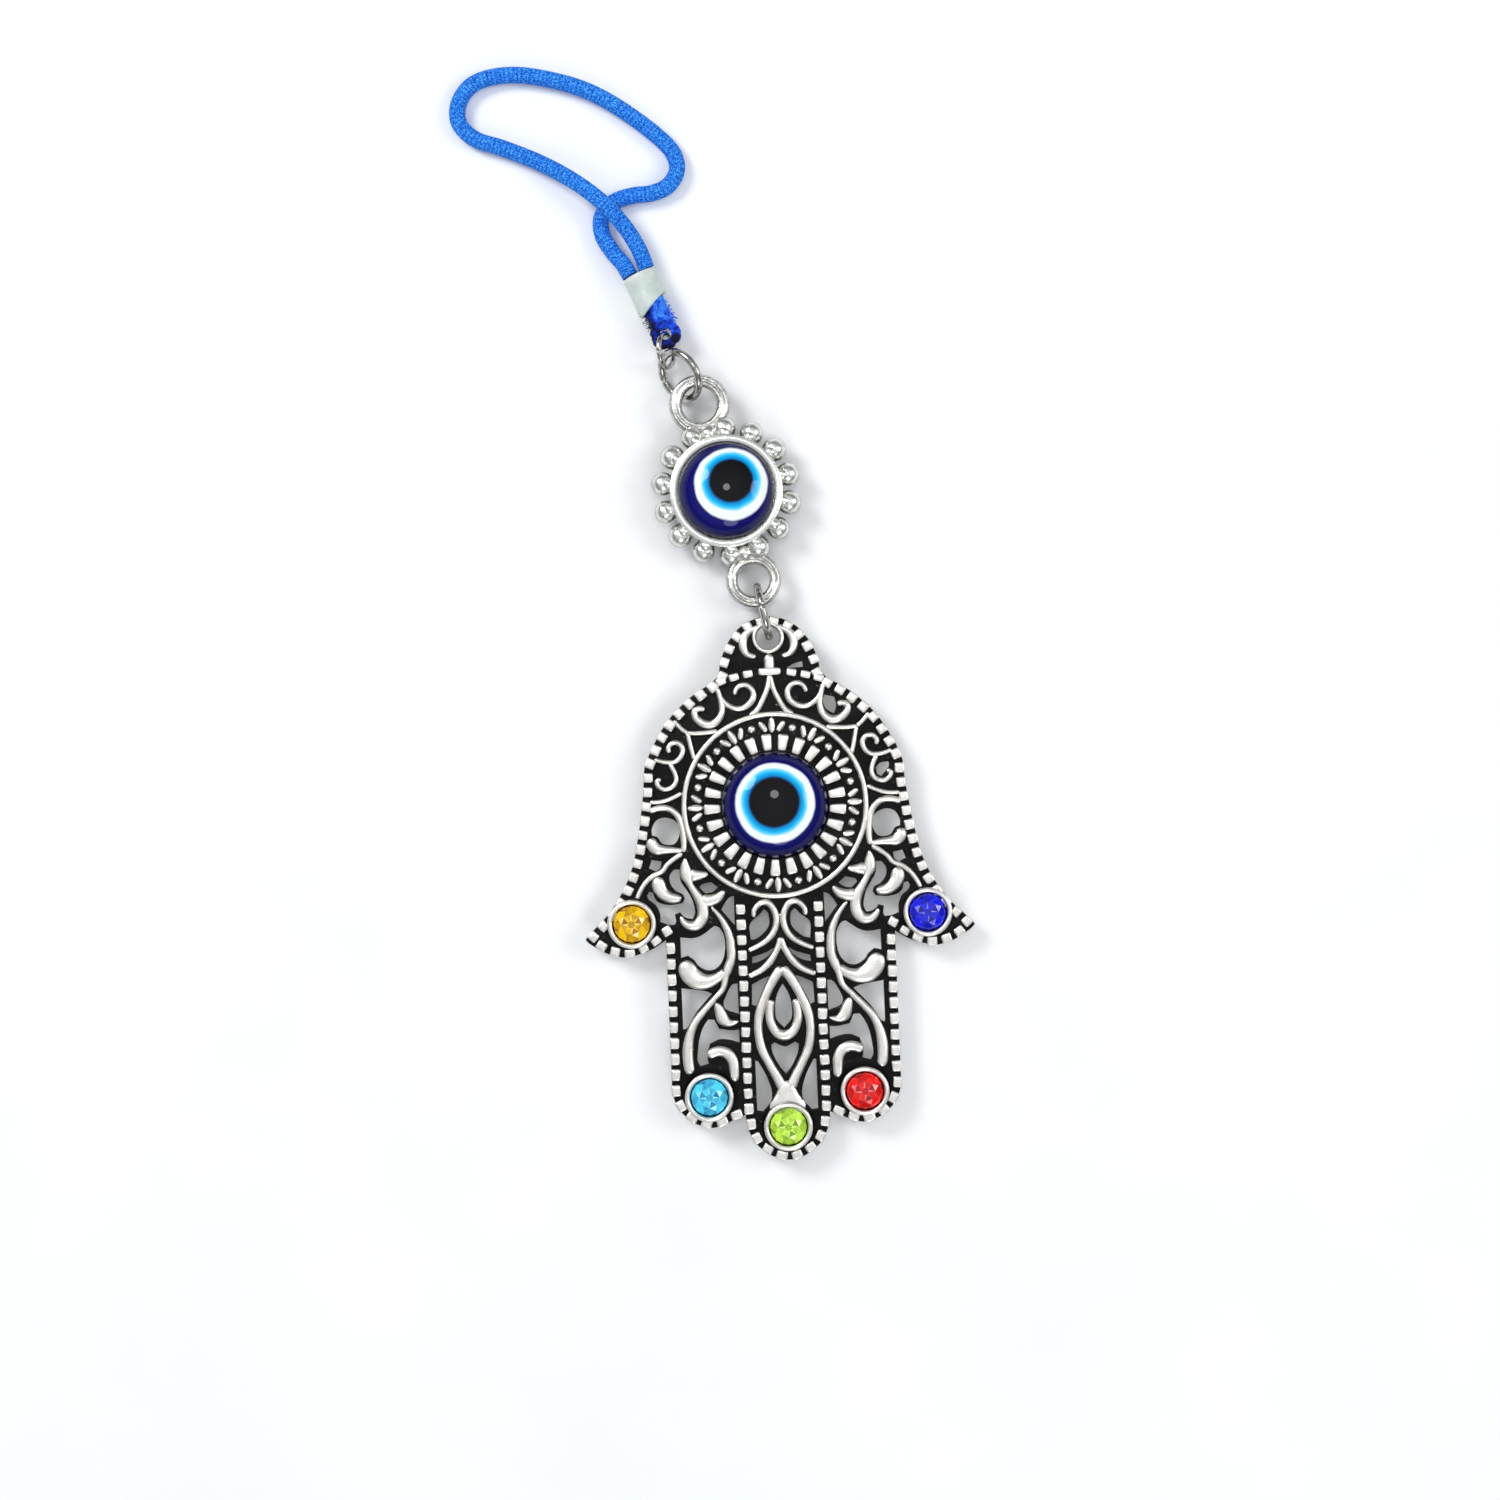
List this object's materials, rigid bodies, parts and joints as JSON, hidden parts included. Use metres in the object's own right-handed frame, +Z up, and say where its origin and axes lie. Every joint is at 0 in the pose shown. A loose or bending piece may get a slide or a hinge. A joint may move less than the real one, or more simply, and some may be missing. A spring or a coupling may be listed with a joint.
{
  "type": "evil eye ornament",
  "caption": "Filigree hamsa charm with a glass eye and small stones, linked to a second eye connector and a short cord loop for hanging.",
  "frame": {"origin": "middle of the ornament's footprint without the cord, on the surface that it lies on", "axes": "+Z up out of the face, +Y along the hamsa's axis from the fingers towards the cord, +X to the right seen from above"},
  "size_m": [0.0564, 0.1269, 0.0072],
  "materials": {
    "antique_silver": "antiqued cast silver-coloured alloy, black in the recesses",
    "bright_silver": "bright cast silver-coloured alloy with a rough grain",
    "ring_steel": "polished wire",
    "navy_glass": "glossy domed glass, navy with white and light blue rings and a dark pupil",
    "amber_stone": "faceted, foil backed",
    "sapphire_stone": "faceted, foil backed",
    "aqua_stone": "faceted, foil backed",
    "peridot_stone": "faceted, foil backed",
    "red_stone": "faceted, foil backed",
    "cord_blue": "round braided cord, matte",
    "cord_end_blue": "frayed and bound cord end, dark blue to black",
    "sleeve_plastic": "milky translucent crimped tube"
  },
  "bodies": {
    "hamsa": {"hamsa_plate": "antique_silver", "hamsa_eye": "navy_glass", "rhinestone_amber": "amber_stone", "rhinestone_sapphire": "sapphire_stone", "rhinestone_aqua": "aqua_stone", "rhinestone_peridot": "peridot_stone", "rhinestone_red": "red_stone"},
    "lower_ring": {"lower_jump_ring": "ring_steel"},
    "connector": {"connector_frame": "bright_silver", "connector_eye": "navy_glass"},
    "upper_ring": {"upper_jump_ring": "ring_steel"},
    "end_link": {"end_ring": "ring_steel"},
    "cord_loop": {"cord_end": "cord_end_blue", "crimp_sleeve": "sleeve_plastic", "cord": "cord_blue"}
  },
  "joints": [
    {"name": "lower_ring_swing", "type": "hinge", "parent": "hamsa", "child": "lower_ring", "pos_m": [0.00009, 0.00853, 0.0034], "axis": [0, 0, 1], "range_deg": [-25, 25]},
    {"name": "connector_lift", "type": "hinge", "parent": "lower_ring", "child": "connector", "pos_m": [-0.00074, 0.01267, 0.0027], "axis": [0.967, 0.2547, 0], "range_deg": [0, 60]},
    {"name": "upper_ring_lift", "type": "hinge", "parent": "connector", "child": "upper_ring", "pos_m": [-0.00816, 0.0378, 0.0027], "axis": [0.8567, 0.5158, 0], "range_deg": [0, 30]},
    {"name": "end_ring_swing", "type": "hinge", "parent": "upper_ring", "child": "end_link", "pos_m": [-0.01027, 0.04131, 0.0027], "axis": [0.5274, 0.3176, 0.788], "range_deg": [0, 20]},
    {"name": "cord_swing", "type": "hinge", "parent": "end_link", "child": "cord_loop", "pos_m": [-0.01027, 0.04371, 0.0027], "axis": [0, 0, 1], "range_deg": [-25, 25]}
  ]
}
